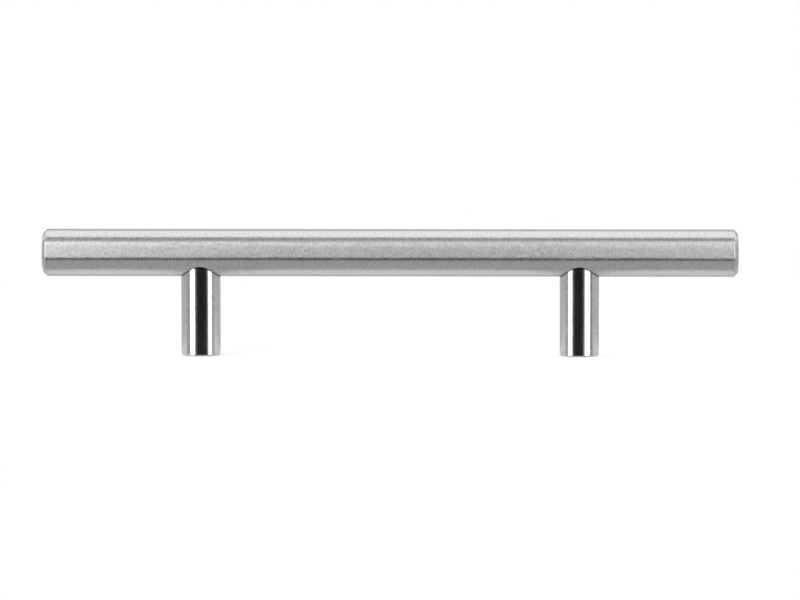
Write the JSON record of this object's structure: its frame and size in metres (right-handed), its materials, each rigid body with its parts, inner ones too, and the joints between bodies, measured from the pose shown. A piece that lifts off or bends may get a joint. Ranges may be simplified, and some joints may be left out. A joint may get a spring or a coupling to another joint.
{
  "type": "cabinet pull",
  "caption": "Straight T-bar cabinet pull: a round brushed steel bar with chamfered ends on round posts that are saddle-cut to it and tapped in their feet.",
  "frame": {"origin": "on the door face that the feet seat on, midway between the two screw holes", "axes": "+X along the bar, +Z away from the door, +Y across the bar to complete a right-handed frame"},
  "size_m": [0.176, 0.012, 0.032],
  "materials": {
    "bar": "satin, brushed round the axis",
    "left_post": "satin, brushed round the axis",
    "right_post": "satin, brushed round the axis",
    "left_stud": "plain machined",
    "right_stud": "plain machined"
  },
  "bodies": {
    "root": {"bar": "bar", "left_post": "left_post", "right_post": "right_post", "left_stud": "left_stud", "right_stud": "right_stud"}
  },
  "joints": []
}
